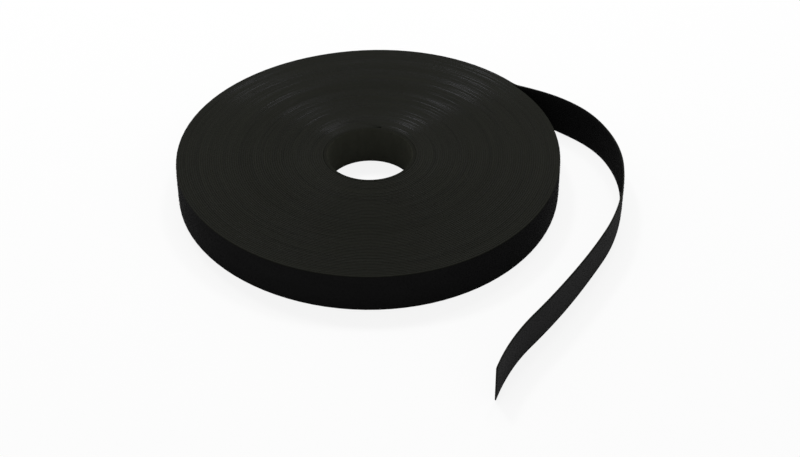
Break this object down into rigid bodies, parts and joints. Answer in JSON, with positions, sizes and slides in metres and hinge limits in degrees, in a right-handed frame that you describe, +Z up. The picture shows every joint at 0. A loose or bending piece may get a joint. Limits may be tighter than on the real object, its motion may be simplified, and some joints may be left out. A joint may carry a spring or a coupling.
{
  "type": "hook and loop tape roll",
  "caption": "Flat roll of black back-to-back hook and loop tape wound on a plain core tube, with its free end peeled off and curling away on its edge.",
  "frame": {"origin": "middle of the roll: on the axis of its core, half way up the tape's width", "axes": "+Z up along the core's axis, +X towards the side where the free end curls round, -Y towards the free end's cut end"},
  "size_m": [0.22, 0.2544, 0.02],
  "materials": {
    "core": "smooth moulded black plastic with a low sheen",
    "adhesive": "thin double-sided adhesive film",
    "turns": "edges of wound black tape, dull with fine ribs",
    "hook": "black moulded hook film, satin",
    "loop": "black brushed loop cloth, dull and hairy"
  },
  "bodies": {
    "roll": {"core_tube": "core", "start_tab": "adhesive", "inner_turns": "turns", "hook_web_turns": "hook", "loop_web_turns": "loop"},
    "tail": {"hook_web_tail": "hook", "loop_web_tail": "loop"}
  },
  "joints": [
    {"name": "tail_peel", "type": "hinge", "parent": "roll", "child": "tail", "pos_m": [0.07189, 0.06249, 0], "axis": [0, 0, 1], "range_deg": [-12, 60]}
  ]
}
